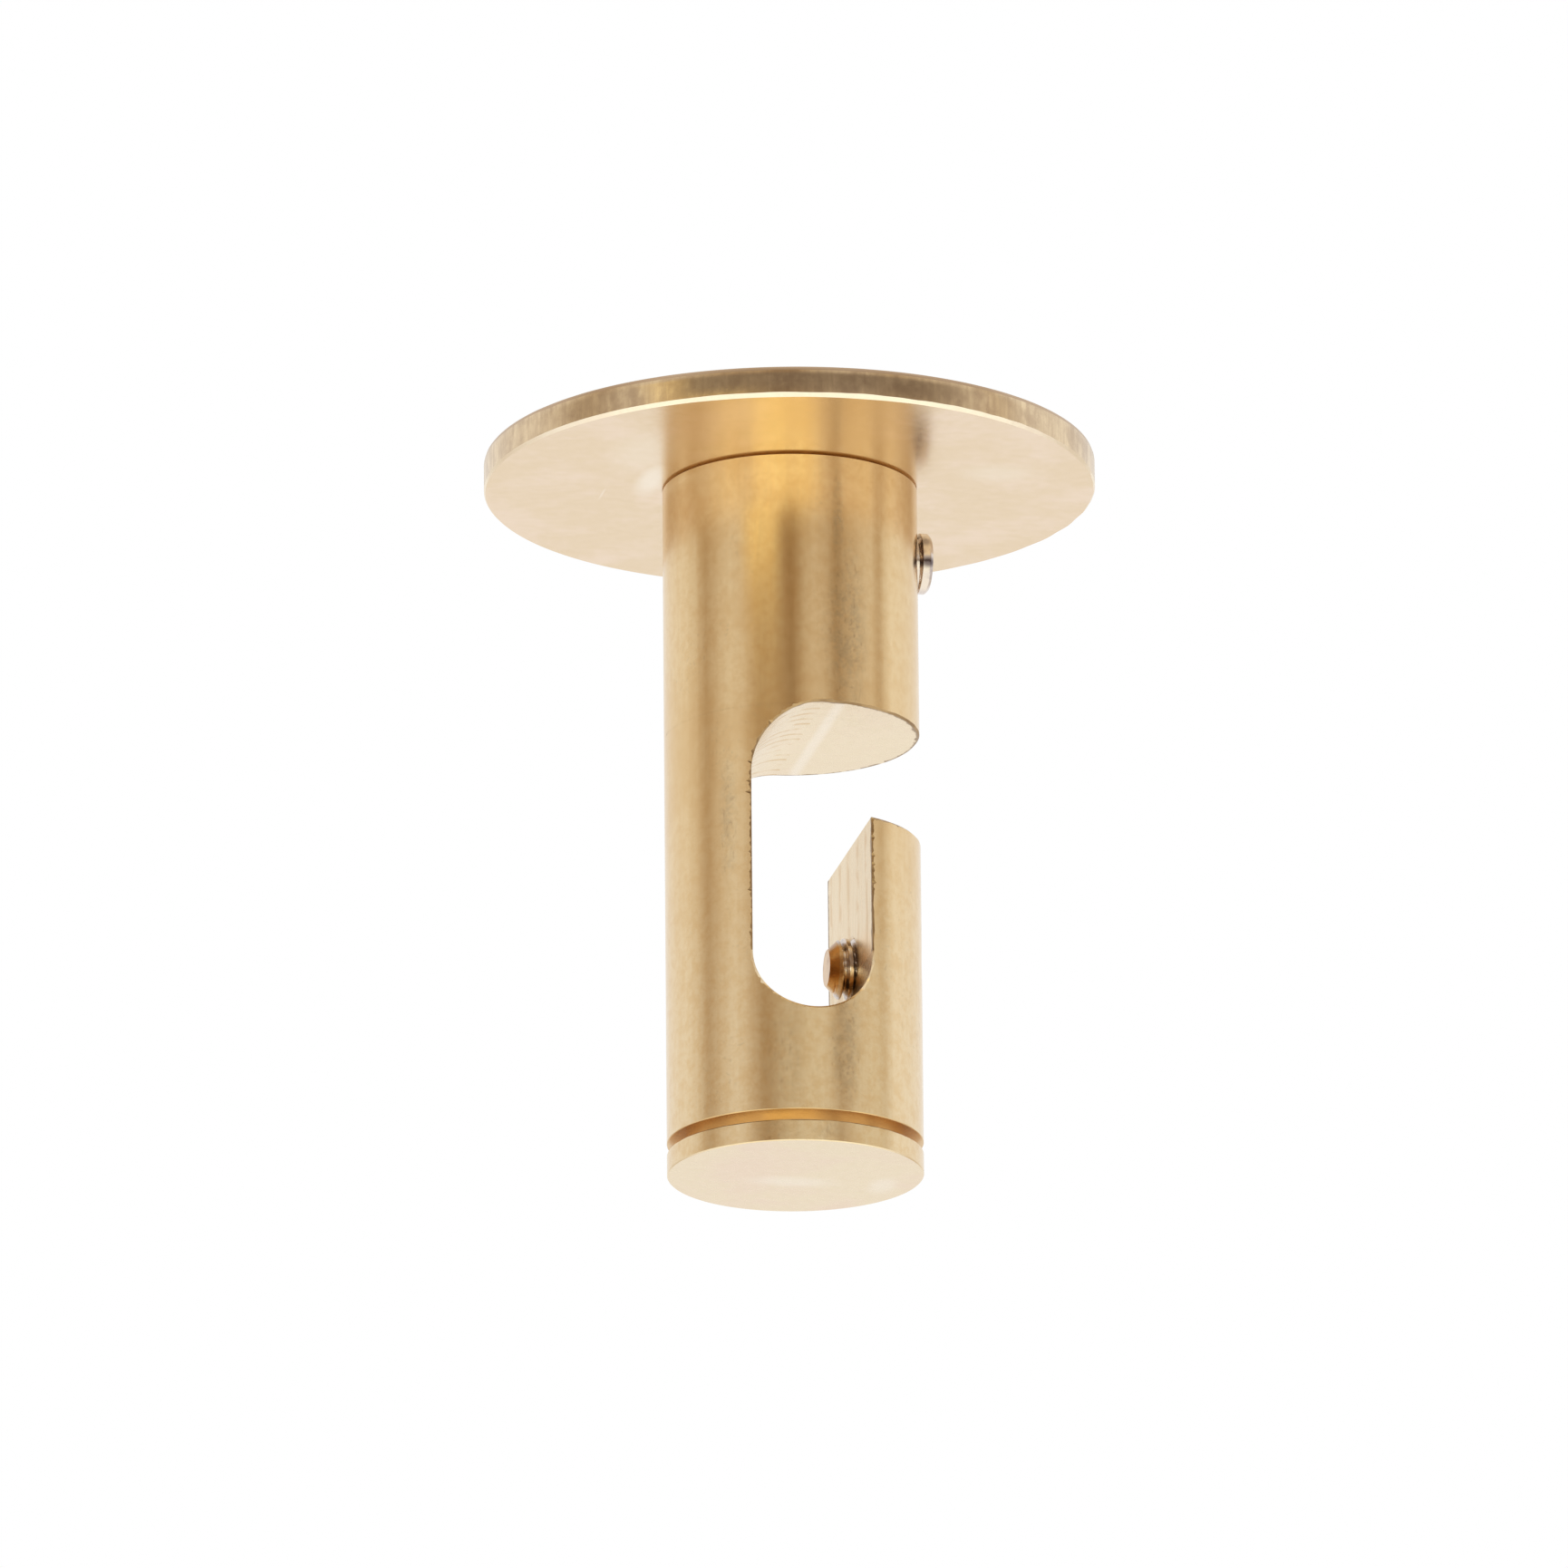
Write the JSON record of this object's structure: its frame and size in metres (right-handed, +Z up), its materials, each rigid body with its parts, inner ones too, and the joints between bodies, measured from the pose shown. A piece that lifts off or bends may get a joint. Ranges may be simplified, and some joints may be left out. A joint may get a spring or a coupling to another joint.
{
  "type": "ceiling hook",
  "caption": "Ceiling-mounted brass hook: a round plate carries a slotted cylindrical post whose side mouth leads down to a round rod seat, with set screws in the neck and the lip.",
  "frame": {"origin": "centre of the ceiling plate's upper face, at the top of the ceiling screw's hole", "axes": "+Z up into the ceiling, +X the way the slot's mouth opens, +Y along the rod that the seat holds"},
  "size_m": [0.06, 0.06, 0.073],
  "materials": {
    "brass": "turned and brushed, unlacquered, with light handling marks",
    "screw_steel": "bright machined steel"
  },
  "bodies": {
    "hook": {"ceiling_plate": "brass", "spigot": "brass", "hook_post": "brass"},
    "neck_screw": {"neck_screw": "screw_steel"},
    "lip_screw": {"lip_screw": "screw_steel"}
  },
  "joints": [
    {"name": "neck_screw_travel", "type": "slide", "parent": "hook", "child": "neck_screw", "axis": [1, 0, 0], "range_m": [0, 0.003]},
    {"name": "lip_screw_travel", "type": "slide", "parent": "hook", "child": "lip_screw", "axis": [1, 0, 0], "range_m": [-0.003, 0.003]}
  ]
}
